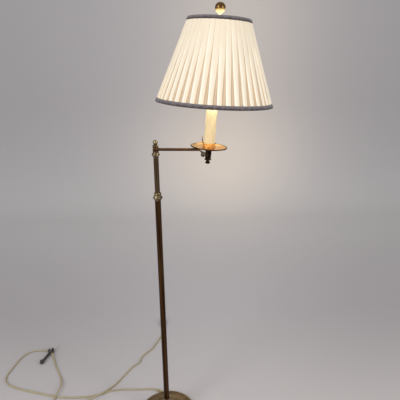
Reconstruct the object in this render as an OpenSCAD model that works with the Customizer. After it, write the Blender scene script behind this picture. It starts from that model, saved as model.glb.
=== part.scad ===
// Height-adjustable bridge floor lamp: a weighted round base, a sliding column, a swinging arm
// and a tilting candle head that carries a pleated shade.
// Millimetres, +Z up. The origin is the centre of the base on the floor, the arm points along +X.

/* [Base] */
// Diameter of the base
base_d = 210; // [190:1:235]
// Diameter of the lower step of the base
step_low_d = 132; // [120:1:145]
// Diameter of the upper step of the base
step_high_d = 88; // [78:1:96]
// Height of the dome's flat top
base_top_z = 54; // [52:1:64]
// Wall of the spun base shell
shell_t = 1.6; // [1.2:0.1:2.4]
// Thickness of the felt pad
felt_t = 2; // [1:0.5:3]
// Thickness of the steel closing plate
plate_t = 1.5; // [1:0.25:2.5]

/* [Column] */
// Outside diameter of the lower tube
lower_od = 19; // [17:0.5:21]
// Wall of the lower tube
lower_wall = 1.25; // [1:0.05:1.3]
// Gap between the lower tube and the upper tube inside it
slide_gap = 0.25; // [0.15:0.05:0.5]
// Wall of the upper tube
upper_wall = 1.2; // [1:0.1:1.5]
// Height of the column collar's lower edge
collar_z = 826; // [690:1:990]
// Bare length of the upper tube between the two collars
exposed_l = 115.2; // [60:0.1:300]
// Length of the upper tube held inside the lower tube
inserted_l = 400; // [330:5:480]
// Length of the turned ferrule at the column's foot
ferrule_h = 24; // [20:1:32]

/* [Arm] */
// Distance from the column's axis to the tilt bolt
arm_reach = 146; // [120:1:240]
// Where the arm points, turned from +X
arm_turn = -6.5; // [-90:0.5:90]
// Room beside the flex inside the arm tube
wire_room = 1.5; // [1:0.1:2.5]
// Wall of the arm tube
arm_wall = 1; // [0.8:0.1:1.2]
// Drop from the arm's axis to the tilt bolt
tilt_drop = 13.5; // [12:0.5:15]
// Wall of the hub that the arm turns with
hub_wall = 3.1; // [2.4:0.1:5]
// Diameter of the ball finial over the hub
hub_ball_d = 15.2; // [13:0.2:18]

/* [Head] */
// Lean of the candle and its pan, away from the column, as it is set here
head_lean = 5.4; // [0:0.1:12]
// Diameter of the barrel under the pan
barrel_d = 18.5; // [16:0.5:19]
// Diameter of the drip pan
pan_d = 110.4; // [95:0.2:130]
// Depth of the drip pan's curve
pan_rise = 7.8; // [6:0.1:9]
// Wall of the candle cup
cup_t = 2.3; // [1.6:0.1:2.6]
// Outside diameter of the candle sleeve
sleeve_d = 32.6; // [31:0.2:32.8]
// Height of the candle sleeve
sleeve_h = 128; // [115:1:150]
// Diameter of the thumb knob
knob_d = 14; // [12:0.2:16]
// Diameter of the bulb
bulb_d = 60; // [50:1:65]

/* [Shade] */
// Outside diameter of the shade's bottom edge
shade_bottom_d = 342; // [300:1:380]
// Outside diameter of the shade's top edge
shade_top_d = 179; // [160:1:220]
// Height of the shade
shade_h = 232.5; // [225:0.5:270]
// Number of box pleats round the shade
pleats = 44; // [36:1:52]
// Depth of a pleat at the bottom edge
pleat_depth = 2; // [1:0.1:2.4]
// Height of the bottom trim
trim_low_h = 11; // [8:0.5:18]
// Height of the top trim
trim_high_h = 10; // [6:0.5:14]
// Width of the harp
harp_w = 104; // [90:1:120]
// Lean of the shade against the candle, as it sits on the harp
shade_skew = -1.1; // [-2.5:0.1:2.5]
// How far the shade tips to the front on the harp, in degrees
shade_tip = 0.9; // [-1:0.1:1.5]
// Diameter of the shade's ball finial
ball_d = 30; // [22:0.2:34]

/* [Flex] */
// Diameter of the flex
flex_d = 5.5; // [5:0.1:5.6]
// Diameter of the in-line switch
switch_d = 27; // [24:0.5:32]

/* [Clearances] */
// Radial gap of a snug fit between pieces that stay together
snug = 0.05; // [0.02:0.01:0.1]
// Radial running gap between pieces that turn or slide
running = 0.06; // [0.03:0.01:0.09]
// Gap between pieces that only lie next to each other
loose = 0.3; // [0.2:0.05:0.4]

/* [Hidden] */
$fn = 48;

// A thickness that makes a cut run past a face
cut = 1;
// A depth by which stretches of one piece run into each other
seam = 0.01;

// Base
base_r = base_d / 2;
rim_lift = 1;
rim_z = 11;
rim_round = 3;
step_low_z = base_top_z - 24;
step_high_z = base_top_z - 8;
step_round = 4;
stem_d = 13;
stem_bore = flex_d + 2.5;
weight_z = felt_t + plate_t;
weight_bore = stem_d + 2 * loose;
nut_pocket_d = 36;
nut_pocket_z = 26;
washer_t = 2;
foot_nut_h = 7.5;
plate_r = base_r - 9;
felt_r = base_r - 4;
screw_circle_r = plate_r - 20;
screw_d = 4;
screw_l = 7;

// The flex leaves the base at the back, through a bush under the rim
exit_angle = 105;
flex_exit = [base_r * cos(exit_angle), base_r * sin(exit_angle), weight_z + flex_d / 2 + 0.25];
flex_heading = 150;
bush_out = 22;
bush_in = 10;
bush_d = flex_d + 2.1;
flex_r = flex_d / 2;
inner_bend = 22;
rise_bend = 12;
riser_l = 280;
channel_d = flex_d + 4.5;
channel_top = 12;
inner_turn = flex_heading - 90;
flex_heading_v = [cos(flex_heading), sin(flex_heading), 0];
flex_corner = [inner_bend * (1 - cos(inner_turn)), inner_bend * sin(inner_turn)];
flex_bend_start = flex_exit - flex_heading_v * (flex_exit[0] + flex_corner[0]) / cos(flex_heading);
flex_bend_end = [0, flex_bend_start[1] - flex_corner[1], flex_exit[2]];
notch_d = bush_d + 2 * snug;

// Column
lower_id = lower_od - 2 * lower_wall;
upper_od = lower_id - 2 * slide_gap;
upper_id = upper_od - 2 * upper_wall;
ferrule_z = base_top_z;
collar_shoulder = 15;
collar_h = 18;
bush_r = upper_od / 2 + 1.75;
ring_h = 7.3;
ring_r = bush_r + 1.85;
collar_r = ring_r + 4.1;
lower_top_z = collar_z + collar_shoulder;
ring_z = collar_z + collar_h;
ring_top_z = ring_z + ring_h;
mast_z = ring_top_z + exposed_l;
upper_end_z = collar_z - inserted_l;
guide_h = 12;
seat_in_collar = 10.2;
top_collar_h = 15.6;
hub_base_z = mast_z + top_collar_h;
hub_stem_d = upper_id - 2.1;
hub_stem_bore = flex_d + 1.1;
hub_d = hub_stem_d + 2 * hub_wall;
arm_od = flex_d + wire_room + 2 * arm_wall;
hub_gap = 0.2;
hub_washer_t = 0.5;
hub_z = hub_base_z + hub_washer_t + hub_gap;
hub_h = arm_od + 5;
cap_z = hub_z + hub_h + loose;
cap_h = 5.8;
arm_z = hub_z + arm_od / 2 + 1.4;

// Head, measured from the tilt bolt along the candle's axis
pivot = [arm_reach, 0, arm_z - tilt_drop];
pan_w = 15.1;
pan_t = 1;
pan_flat_r = 9;
barrel_low_w = -12.6;
finial_w = -17.6;
nipple_d = 10;
nipple_bore = flex_d + 1.1;
eye_r = 5.8;
elbow_l = 20;
spigot_l = 13;
stem_offset = barrel_d / 2 + eye_r - 0.1;
tongue_t = 5;
washer_thin = 0.4;
washer_gap = 0.1;
ear_t = 2.8;
ear_in = tongue_t / 2 + washer_thin + 2 * washer_gap;
ear_out = ear_in + ear_t;
bolt_d = 5;
cup_w = pan_w + pan_t;
cup_r = sleeve_d / 2 + 0.2 + cup_t;
ledge_w = cup_w + 5;
cup_rim_w = cup_w + 19.6;
sleeve_w = ledge_w;
sleeve_t = 1.2;
sleeve_top_w = sleeve_w + sleeve_h;
holder_d = sleeve_d - 2 * sleeve_t - 2 * loose;
holder_h = 44;
holder_t = 0.9;
holder_w = sleeve_top_w - holder_h - 2;
liner_t = 1.2;
bulb_cap_d = holder_d - 2 * holder_t - 2 * snug - 2 * liner_t - 2 * loose;
bulb_w = sleeve_top_w - 4;
bulb_h = 104;
carrier_t = 3;
carrier_w = sleeve_top_w;
harp_foot_r = sleeve_d / 2 + 4.7;
harp_wire = 3.6;
harp_half = harp_w / 2;
harp_knee_w = carrier_w + 52;
shade_low_w = 152.9;
shade_top_w = shade_low_w + shade_h;
harp_seat_w = shade_top_w - 6.4;
harp_bow_w = harp_seat_w - 16 - harp_half;
harp_stud_d = 6;

// Shade
cover_t = 1;
trim_t = 1.6;
trim_gap = 0.25;
edge_gap = 1.4;
shade_slope = (shade_bottom_d - shade_top_d) / 2 / shade_h;
spider_wire = 4;
rib_wire = 2.6;
rib_count = 6;
hub_ring_t = 2.5;
ball_base_w = harp_seat_w + hub_ring_t;
ball_w = shade_top_w + 28.2;
function edge_r(w) = shade_bottom_d / 2 - (w - shade_low_w) * shade_slope;
function cover_r(w) = edge_r(w) - trim_t - trim_gap;
function inside_r(w) = cover_r(w) - pleat_depth - cover_t;

// Flex on the floor: from the base to the switch, then to the plug
floor_z = flex_r + 0.1;
route_to_switch = [
    [-46, 112.4, 6.5], [-62, 119.8, 4.6], [-92, 122, floor_z], [-120, 121.5, floor_z],
    [-148, 122, floor_z],
    [-193, 122, floor_z], [-230, 116, floor_z], [-256, 106, floor_z], [-307, 91, floor_z],
    [-359, 86, floor_z], [-409, 88, floor_z], [-438, 92, floor_z], [-498, 107, floor_z],
    [-559, 122, floor_z], [-604, 135, floor_z], [-645, 152, floor_z], [-674, 176, floor_z],
    [-684, 205, floor_z], [-681, 237, floor_z], [-677, 270, floor_z], [-670, 306, floor_z],
    [-656, 337, floor_z], [-631, 353, floor_z], [-603, 357, floor_z], [-585, 355, 5], [-574, 353, 6.6],
    [-560.5, 350, 7.4]
];
route_to_plug = [
    [-544.3, 335, 7.4], [-536, 322, 6.4], [-526, 306, 5], [-513, 285, floor_z], [-501, 261, floor_z],
    [-484, 236, floor_z], [-468, 211, floor_z], [-454, 190, floor_z], [-445, 170, 4.5],
    [-438, 150, 7], [-436, 130, 10.4], [-438, 110, 10.4], [-441, 90, 8], [-443, 72, 4.5],
    [-443, 55, floor_z], [-434, 32, floor_z], [-410, 17, floor_z], [-382, 20, floor_z],
    [-354, 38, floor_z], [-330, 56, 4.5], [-306, 72, 7.5], [-284, 84, 10.6], [-262, 98, 10.6],
    [-243, 117, 8], [-226, 140, 4.5], [-207, 170, floor_z], [-188, 206, floor_z], [-170, 238, floor_z],
    [-152, 258, floor_z], [-139, 273, floor_z], [-138, 292, floor_z], [-130, 313, floor_z],
    [-112, 335, floor_z], [-96, 358, floor_z], [-84, 388, floor_z], [-73, 416, floor_z],
    [-62, 442, floor_z], [-57, 466, floor_z], [-57, 488, 4.2], [-59, 505, 6.5], [-61, 520, 7]
];
rings_to_switch = 36;
rings_to_plug = 42;
flex_sides = 10;
switch_at = [-550, 345];
switch_h = 23;
tail_turn = -102.5;
tail_reach = 69.5;
plug_turn = 96.5;
plug_l = 34;
plug_w = 23;
plug_h = 14;

// Points of an arc
function arc(x, y, r, a0, a1, n = 6) =
    [for (i = [0:n]) let (a = a0 + (a1 - a0) * i / n) [x + r * cos(a), y + r * sin(a)]];

// Points of an outline in reverse order
function back(pts) = [for (i = [len(pts) - 1:-1:0]) pts[i]];

// A solid turned from an outline of radius and height
module turned(pts) {
    rotate_extrude() polygon(pts);
}

// A round tube from z0 to z1
module pipe(d, bore, z0, z1) {
    difference() {
        translate([0, 0, z0]) cylinder(d = d, h = z1 - z0);
        translate([0, 0, z0 - cut]) cylinder(d = bore, h = z1 - z0 + 2 * cut);
    }
}

// A rod from p to q
module rod(p, q, d) {
    v = q - p;
    l = norm(v);
    translate(p) rotate([0, acos(v[2] / l), atan2(v[1], v[0])]) cylinder(d = d, h = l);
}

// A bend of a round rod, whose ends run a little way into the straight stretches
module bend(r, angle, d) {
    lap = 1;
    rotate(-lap) rotate_extrude(angle = angle + 2 * lap) translate([r, 0]) circle(d = d - 2 * seam);
}

// The frame of the arm, which runs along its +X
module on_arm() {
    rotate(arm_turn) children();
}

// The frame of the candle head: the tilt bolt is its origin, the candle's axis is x = stem_offset
module in_head() {
    on_arm() translate(pivot) rotate([0, head_lean, 0]) children();
}

// The frame of pieces turned about the candle's axis
module on_stem() {
    in_head() translate([stem_offset, 0, 0]) children();
}

// The frame of the shade, which leans a little on the harp's seat
module on_shade() {
    on_stem() translate([0, 0, harp_seat_w]) rotate([shade_tip, shade_skew, 0])
        translate([0, 0, -harp_seat_w]) children();
}

// ---- Base ----

// Radius on the slope between the lower step, 0, and the rim, 1
function slope_r(share) = step_low_d / 2 + share * (base_r - step_low_d / 2);

function dome_outline() = concat(
    [[base_r, rim_lift]],
    arc(base_r - rim_round, rim_z - rim_round, rim_round, 0, 80),
    [[slope_r(0.74), rim_z + 0.8], [slope_r(0.49), rim_z + 3.2], [slope_r(0.3), rim_z + 6.2],
     [slope_r(0.08), step_low_z - 10.5], [step_low_d / 2, step_low_z - 8]],
    arc(step_low_d / 2 - step_round, step_low_z - step_round, step_round, 0, 80),
    [[step_low_d / 2 - 9, step_low_z + 1], [step_high_d / 2 + 8, step_low_z + 3],
     [step_high_d / 2 + 3, step_low_z + 5.5], [step_high_d / 2, step_high_z - 8]],
    arc(step_high_d / 2 - step_round, step_high_z - step_round, step_round, 0, 80),
    [[step_high_d / 2 - 9, step_high_z + 0.6], [28, base_top_z - 5], [21, base_top_z - 1.6],
     [17, base_top_z], [stem_d / 2 + snug, base_top_z]]
);

// The path that the flex bush takes through the rim
module bush_path(d, from, to) {
    translate(flex_exit) rotate([0, 90, flex_heading]) translate([0, 0, from])
        cylinder(d = d, h = to - from);
}

module base_shell() {
    outer = dome_outline();
    inner = [for (p = outer) [p[0] - shell_t * (p[0] > stem_d ? 1 : 0), max(p[1] - shell_t, rim_lift)]];
    last = len(outer) - 1;
    color("darkgoldenrod") difference() {
        turned(concat(outer, [[outer[last][0], outer[last][1] - shell_t]],
            [for (i = [last - 1:-1:0]) inner[i]]));
        bush_path(notch_d, -bush_in - cut, bush_out);
    }
}

module base_weight() {
    bore_r = weight_bore / 2;
    low = step_low_d / 2;
    high = step_high_d / 2;
    color("dimgray") difference() {
        turned([[bore_r, weight_z], [plate_r, weight_z], [plate_r, weight_z + 4],
            [low - 4, step_low_z - 15], [low - 9, step_low_z - 5], [high - 4, step_low_z],
            [high - 7, step_high_z - 7], [18, base_top_z - 11], [bore_r, base_top_z - 11]]);
        translate([0, 0, weight_z - cut]) cylinder(d = nut_pocket_d, h = nut_pocket_z - weight_z + cut);
        // channel and bay for the flex
        translate([-channel_d / 2, 0, weight_z - cut])
            cube([channel_d, flex_bend_end[1] + channel_d, channel_top - weight_z + cut]);
        translate([-base_r / 2, flex_bend_end[1] - channel_d, weight_z - cut])
            cube([base_r / 2 + channel_d / 2 + 1, base_r, channel_top - weight_z + cut]);
        screw_places() translate([0, 0, -cut]) cylinder(d = screw_d + 2 * snug, h = screw_l + cut + 0.5);
    }
}

// Places of the plate's screws, clear of the flex
module screw_places() {
    for (a = [30, 210, 330]) rotate(a) translate([screw_circle_r, 0, weight_z]) children();
}

module base_plate() {
    color("silver") difference() {
        translate([0, 0, felt_t]) cylinder(r = plate_r, h = plate_t);
        translate([0, 0, felt_t - cut]) cylinder(d = nut_pocket_d - 4, h = plate_t + 2 * cut);
        screw_places() translate([0, 0, -plate_t - cut])
            cylinder(d = screw_d + 2 * snug, h = plate_t + 2 * cut);
    }
}

module base_felt() {
    color("darkgreen") difference() {
        cylinder(r = felt_r, h = felt_t);
        screw_places() translate([0, 0, -weight_z - cut]) cylinder(d = 9, h = felt_t + 2 * cut);
    }
}

module plate_screws() {
    color("lightgray") screw_places() {
        translate([0, 0, -plate_t - 1.5]) cylinder(d = 7.5, h = 1.5);
        translate([0, 0, -plate_t]) cylinder(d = screw_d, h = plate_t + screw_l);
    }
}

// Hollow stem: threaded below, soldered into the lower tube above
module foot_stem() {
    color("peru") difference() {
        union() {
            translate([0, 0, nut_pocket_z - washer_t - foot_nut_h - 1])
                cylinder(d = stem_d, h = base_top_z + 38 - nut_pocket_z + washer_t + foot_nut_h);
            translate([0, 0, base_top_z + 1]) cylinder(d = lower_id - 2 * snug, h = 36);
        }
        cylinder(d = stem_bore, h = base_top_z + 60);
    }
}

module foot_washer() {
    color("silver") pipe(28, stem_d + 2 * snug, nut_pocket_z - washer_t, nut_pocket_z);
}

module foot_nut() {
    color("gray") difference() {
        translate([0, 0, nut_pocket_z - washer_t - foot_nut_h]) cylinder(d = 24, h = foot_nut_h, $fn = 6);
        cylinder(d = stem_d + 2 * snug, h = nut_pocket_z);
    }
}

module foot_ferrule() {
    r = lower_od / 2 + snug;
    top = ferrule_z + ferrule_h;
    color("goldenrod") turned(concat(
        [[r, ferrule_z], [r + 6.7, ferrule_z]],
        arc(r + 6.2, ferrule_z + 1.6, 1.4, -60, 90, 4),
        [[r + 3.8, ferrule_z + 3.6], [r + 2.2, ferrule_z + 6.4], [r + 1.5, ferrule_z + 10],
         [r + 1.4, top - 5]],
        arc(r + 1.3, top - 2.6, 1.5, -70, 75, 5),
        [[r, top]]
    ));
}

module lower_tube() {
    color("saddlebrown") pipe(lower_od, lower_id, ferrule_z, lower_top_z);
}

module column_collar() {
    r = lower_od / 2 + snug;
    bore = upper_od / 2 + loose;
    color("goldenrod") turned(concat(
        [[r, collar_z], [r + 0.9, collar_z], [r + 1.5, collar_z + 1.4], [r + 3, collar_z + 4],
         [collar_r - 1.4, collar_z + 7]],
        arc(collar_r - 1.7, collar_z + 9.4, 1.7, -50, 60, 5),
        [[collar_r - 2.6, collar_z + 13], [ring_r + 0.1, collar_z + 15.6], [ring_r - 0.4, collar_z + 16.6],
         [ring_r - 0.4, ring_z], [bore, ring_z], [bore, lower_top_z], [r, lower_top_z]]
    ));
}

module collar_ring() {
    bore = upper_od / 2 + loose;
    color("goldenrod") turned([[bush_r + snug, ring_z], [ring_r - 0.6, ring_z], [ring_r, ring_z + 0.8],
        [ring_r, ring_z + 2.6], [ring_r - 0.7, ring_z + 3.4], [ring_r, ring_z + 4.2],
        [ring_r - 0.3, ring_top_z - 1], [ring_r - 1.6, ring_top_z], [bore, ring_top_z],
        [bore, ring_top_z - 1.2], [bush_r + snug, ring_top_z - 1.2]]);
}

module grip_bush() {
    color("ivory") pipe(2 * bush_r, upper_od + 2 * running, ring_z, ring_top_z - 1.2);
}

// Tapered bush that eases the flex out of the base
module flex_bush() {
    color("black") translate(flex_exit) rotate([0, 90, flex_heading]) difference() {
        union() {
            translate([0, 0, -bush_in]) cylinder(d = bush_d, h = bush_in + 6);
            translate([0, 0, 6]) cylinder(d1 = bush_d, d2 = flex_d + 1.6, h = bush_out - 6);
        }
        translate([0, 0, -bush_in - cut]) cylinder(d = flex_d + 2 * snug, h = bush_in + bush_out + 2 * cut);
    }
}

// Flex inside the base: in through the bush, round to the middle and up the stem
module base_flex() {
    low = flex_bend_end;
    color("khaki") {
        rod(flex_exit + flex_heading_v * bush_out, flex_bend_start, flex_d);
        translate([-inner_bend, low[1], low[2]]) bend(inner_bend, inner_turn, flex_d);
        rod(low, [0, rise_bend, low[2]], flex_d);
        translate([0, rise_bend, low[2] + rise_bend]) rotate([90, 90, -90]) bend(rise_bend, 90, flex_d);
        translate([0, 0, low[2] + rise_bend]) cylinder(d = flex_d, h = riser_l);
    }
}

// ---- Mast: the upper tube and what is fixed on it ----

module upper_tube() {
    color("peru") pipe(upper_od, upper_id, upper_end_z, mast_z + seat_in_collar);
}

module guide_bush() {
    color("ivory") difference() {
        union() {
            translate([0, 0, upper_end_z - guide_h]) cylinder(d = lower_id - 2 * running, h = guide_h);
            translate([0, 0, upper_end_z]) cylinder(d = upper_id - 2 * snug, h = guide_h);
        }
        translate([0, 0, upper_end_z - guide_h - cut])
            cylinder(d = flex_d + 2 * loose, h = 2 * guide_h + 2 * cut);
    }
}

module top_collar() {
    r = upper_od / 2 + snug;
    color("gold") turned([[r, mast_z], [r + 1, mast_z], [r + 1.6, mast_z + 1.2], [r + 3.8, mast_z + 4.2],
        [r + 4.7, mast_z + 6], [r + 4.5, mast_z + 7.4], [r + 3, mast_z + 8.6], [r + 2.7, mast_z + 10],
        [r + 1.5, mast_z + 12], [r + 1, mast_z + 13.6], [r + 1.1, hub_base_z],
        [hub_stem_d / 2 + snug, hub_base_z], [hub_stem_d / 2 + snug, mast_z + seat_in_collar],
        [r, mast_z + seat_in_collar]]);
}

// Hollow pin that the arm turns on, with a window where the flex leaves it
module hub_stem() {
    low = mast_z - 2;
    window_w = flex_d + 0.9;
    color("peru") difference() {
        translate([0, 0, low]) cylinder(d = hub_stem_d, h = cap_z + cap_h - low);
        translate([0, 0, low - cut]) cylinder(d = hub_stem_bore, h = cap_z + cap_h - low + 2 * cut);
        on_arm() translate([0, -window_w / 2, arm_z - window_w / 2])
            cube([hub_stem_d, window_w, window_w]);
    }
}

module hub_washer() {
    color("dimgray") pipe(hub_d - 1, hub_stem_d + 2 * snug, hub_base_z, hub_base_z + hub_washer_t);
}

module hub_cap() {
    r = hub_stem_d / 2 + snug;
    color("gold") turned(concat(
        [[r, cap_z], [r + 1.6, cap_z], [r + 1.9, cap_z + 0.8], [r + 2.6, cap_z + 1.5]],
        arc(r + 3.1, cap_z + 3.1, 1.3, -80, 80, 5),
        [[r + 2.2, cap_z + cap_h - 0.9], [r + 0.4, cap_z + cap_h], [r, cap_z + cap_h]]));
}

module hub_finial() {
    top = cap_z + cap_h;
    r = hub_ball_d / 2;
    color("gold") turned(concat(
        [[0, top - 5], [hub_stem_bore / 2 - snug, top - 5], [hub_stem_bore / 2 - snug, top],
         [hub_stem_d / 2 + 0.6, top], [hub_stem_d / 2 + 0.8, top + 0.8], [3.9, top + 1.6]],
        arc(0, top + r, r, -55, 90, 12)));
}

module mast_flex() {
    z0 = upper_end_z - guide_h;
    color("khaki") translate([0, 0, z0]) cylinder(d = flex_d, h = arm_z - z0);
}

// ---- Arm ----

module arm_hub() {
    color("chocolate") on_arm() difference() {
        union() {
            turned([[hub_stem_d / 2 + running, hub_z], [hub_d / 2 - 0.5, hub_z], [hub_d / 2, hub_z + 0.5],
                [hub_d / 2, hub_z + hub_h - 0.5], [hub_d / 2 - 0.5, hub_z + hub_h],
                [hub_stem_d / 2 + running, hub_z + hub_h]]);
            difference() {
                translate([hub_d / 2 - 1.5, 0, arm_z]) rotate([0, 90, 0])
                    cylinder(d = arm_od + 0.7, h = 4);
                translate([0, 0, hub_z - 5]) cylinder(d = hub_d - 2, h = hub_h + 10);
            }
        }
        translate([hub_stem_d / 2 + 1, 0, arm_z]) rotate([0, 90, 0])
            cylinder(d = arm_od + 2 * snug, h = 20);
        translate([0, 0, arm_z]) rotate([0, 90, 0]) cylinder(d = flex_d + 0.9, h = 20);
    }
}

module arm_tube() {
    x0 = hub_stem_d / 2 + 1.1;
    color("saddlebrown") on_arm() translate([x0, 0, arm_z]) rotate([0, 90, 0])
        pipe(arm_od, arm_od - 2 * arm_wall, 0, arm_reach - elbow_l - x0);
}

// Elbow at the arm's end: a spigot in the tube, a sloping web and the eye on the tilt bolt
module arm_elbow() {
    bore = arm_od - 2 * arm_wall;
    r = arm_od / 2;
    spigot_x = arm_reach - elbow_l - spigot_l;
    color("saddlebrown") on_arm() difference() {
        union() {
            translate([spigot_x, 0, arm_z]) rotate([0, 90, 0])
                cylinder(d = bore - 2 * snug, h = spigot_l + 0.5);
            translate([arm_reach - elbow_l, 0, arm_z]) rotate([0, 90, 0])
                cylinder(d1 = arm_od, d2 = arm_od - 1, h = 2.5);
            translate([pivot[0], tongue_t / 2, pivot[2]]) rotate([90, 0, 0]) linear_extrude(tongue_t)
                polygon([[0.2 - elbow_l, tilt_drop - r + 0.4], [0.2 - elbow_l, tilt_drop + r - 0.4],
                    [2.6 - elbow_l, tilt_drop + r - 0.8], [4.6 - elbow_l, tilt_drop + r - 2],
                    [1, eye_r], [eye_r - 0.4, 1], [0, 0], [-eye_r + 0.4, 1.6],
                    [-eye_r - 1.2, 5.6], [-eye_r - 3.4, 8.4], [-eye_r - 6, tilt_drop - r + 0.5],
                    [2.4 - elbow_l, tilt_drop - r + 0.5]]);
            translate([pivot[0], tongue_t / 2, pivot[2]]) rotate([90, 0, 0])
                cylinder(r = eye_r, h = tongue_t);
        }
        translate([spigot_x - cut, 0, arm_z]) rotate([0, 90, 0])
            cylinder(d = flex_d + 2 * snug, h = spigot_l - 1);
        translate([pivot[0], tongue_t, pivot[2]]) rotate([90, 0, 0])
            cylinder(d = bolt_d + 2 * running, h = 2 * tongue_t);
    }
}

module arm_flex() {
    x0 = hub_stem_d / 2 + 1.5;
    color("khaki") on_arm() translate([x0, 0, arm_z]) rotate([0, 90, 0])
        cylinder(d = flex_d, h = arm_reach - elbow_l - 2 - x0);
}

// ---- Head ----

module head_barrel() {
    r = barrel_d / 2;
    bore = nipple_d / 2 + snug;
    color("saddlebrown") in_head() difference() {
        union() {
            translate([stem_offset, 0, 0]) turned([[0, finial_w], [5, finial_w], [6.5, barrel_low_w - 4.4],
                [r + 0.9, barrel_low_w - 3.4], [r + 1.25, barrel_low_w - 2.4], [r + 0.9, barrel_low_w - 1.4],
                [r - 0.6, barrel_low_w], [r - 0.3, -8], [r, 0], [r, pan_w - 3], [r + 0.4, pan_w - 1.5],
                [r + 0.4, pan_w], [0, pan_w]]);
            for (s = [-1, 1]) translate([0, s > 0 ? ear_out : -ear_in, 0]) rotate([90, 0, 0])
                linear_extrude(ear_t) union() {
                    circle(r = eye_r + 0.4);
                    translate([0, -4]) square([stem_offset - 5, 8]);
                }
        }
        translate([stem_offset, 0, barrel_low_w - 3]) cylinder(r = bore, h = 60);
        translate([0, 20, 0]) rotate([90, 0, 0]) cylinder(d = bolt_d + 2 * snug, h = 40);
        // room for the elbow's eye to turn between the ears
        translate([0, ear_in - seam, 0]) rotate([90, 0, 0])
            cylinder(r = eye_r + 0.55, h = 2 * (ear_in - seam));
    }
}

module barrel_finial() {
    w = finial_w;
    color("saddlebrown") on_stem() turned([[0, w - 11.6], [2, w - 11.3], [5, w - 10.1], [7, w - 8.4],
        [7.7, w - 6.9], [7.4, w - 5.4], [6.2, w - 4.1], [4.8, w - 3.2], [4.5, w - 2],
        [5.2, w - 0.7], [5.4, w], [0, w]]);
}

module tilt_bolt() {
    color("dimgray") in_head() {
        translate([0, ear_out + 3, 0]) rotate([90, 0, 0]) cylinder(d = 10, h = 3);
        translate([0, ear_out + seam, 0]) rotate([90, 0, 0])
            cylinder(d = bolt_d, h = 2 * ear_out + 5.5);
    }
}

module tilt_washers() {
    color("black") in_head() for (s = [-1, 1])
        translate([0, s > 0 ? ear_in : -ear_in + washer_thin, 0]) rotate([90, 0, 0]) difference() {
            cylinder(r = eye_r - 0.3, h = washer_thin);
            translate([0, 0, -cut]) cylinder(d = bolt_d + 2 * snug, h = washer_thin + 2 * cut);
        }
}

// Knurled disc that clamps the tilt
module thumb_knob() {
    t = 6;
    knurls = 24;
    color("darkgoldenrod") in_head() translate([0, -ear_out - 0.2, 0]) rotate([90, 0, 0]) difference() {
        union() {
            cylinder(r = 4.6, h = 1.6);
            translate([0, 0, 1.5]) cylinder(d = knob_d, h = t - 2.2);
            translate([0, 0, t - 0.8]) cylinder(d1 = knob_d - 0.6, d2 = knob_d - 2.6, h = 0.8);
        }
        translate([0, 0, -cut]) cylinder(d = bolt_d + 2 * running, h = 5.6 + cut);
        for (i = [0:knurls - 1]) rotate(i * 360 / knurls) translate([knob_d / 2 + 0.35, 0, 1])
            cylinder(d = 1.5, h = t, $fn = 16);
    }
}

module head_stem() {
    color("peru") on_stem() pipe(nipple_d, nipple_bore, barrel_low_w - 2, holder_w + 6);
}

module drip_pan() {
    bead_r = 1.9;
    r = pan_d / 2 - bead_r;
    n = 10;
    low = [for (i = [0:n]) let (x = pan_flat_r + (r - pan_flat_r) * i / n)
        [x, pan_w + pan_rise * (pow(x, 2) - pow(pan_flat_r, 2)) / pow(r, 2)]];
    top = low[n][1];
    color("chocolate") on_stem() turned(concat(
        [[nipple_d / 2 + snug, pan_w]], low,
        arc(r, top + bead_r - 0.1, bead_r, -90, 190, 9),
        [for (i = [n - 1:-1:0]) low[i] + [0, pan_t]],
        [[nipple_d / 2 + snug, pan_w + pan_t]]));
}

module candle_cup() {
    r = cup_r;
    color("goldenrod") on_stem() turned([[nipple_d / 2 + snug, cup_w], [pan_flat_r - 0.2, cup_w],
        [pan_flat_r + 2.3, cup_w + 0.9], [r - 1.2, cup_w + 2.4], [r, cup_w + 4.4], [r, cup_w + 14],
        [r + 0.9, cup_w + 16.6], [r + 2.6, cup_rim_w - 0.9], [r + 2.9, cup_rim_w - 0.2],
        [r + 2.2, cup_rim_w], [r + 0.2, cup_w + 17.8], [r - cup_t, cup_w + 14.6],
        [r - cup_t, ledge_w], [r - 4.5, ledge_w], [r - 6.5, ledge_w - 1.8],
        [nipple_d / 2 + snug, ledge_w - 1.8]]);
}

module stem_nut() {
    color("silver") on_stem() translate([0, 0, ledge_w - 1.8]) difference() {
        cylinder(d = 16, h = 4.5, $fn = 6);
        translate([0, 0, -cut]) cylinder(d = nipple_d + 2 * snug, h = 4.5 + 2 * cut);
    }
}

module candle_sleeve() {
    color("ivory") on_stem() pipe(sleeve_d, sleeve_d - 2 * sleeve_t, sleeve_w, sleeve_top_w);
}

// Place of the turned key, on the rim of the cup beside the candle
module at_key() {
    on_stem() translate([-(cup_r + 1.9), -3, cup_rim_w]) rotate([0, -3, 0]) children();
}

module key_bush() {
    color("goldenrod") at_key()
        turned([[1.3, 0.3], [2.6, 0.3], [2.8, 1.4], [2.2, 2.6], [2.4, 3.6], [1.3, 4]]);
}

module switch_key() {
    color("saddlebrown") at_key() {
        translate([0, 0, 0.6]) cylinder(r = 1.2, h = 4);
        translate([0, 0, 4.2])
            turned([[0, 0], [2.1, 0], [2.3, 1.3], [1.5, 2.6], [1.1, 5.6], [1.6, 6.8], [1, 8], [0, 8]]);
        translate([-0.9, 0, 15.6]) rotate([0, 90, 0]) cylinder(r = 4, h = 1.8);
    }
}

module head_flex() {
    color("khaki") on_stem() translate([0, 0, barrel_low_w])
        cylinder(d = flex_d, h = holder_w + 7 - barrel_low_w);
}

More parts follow.
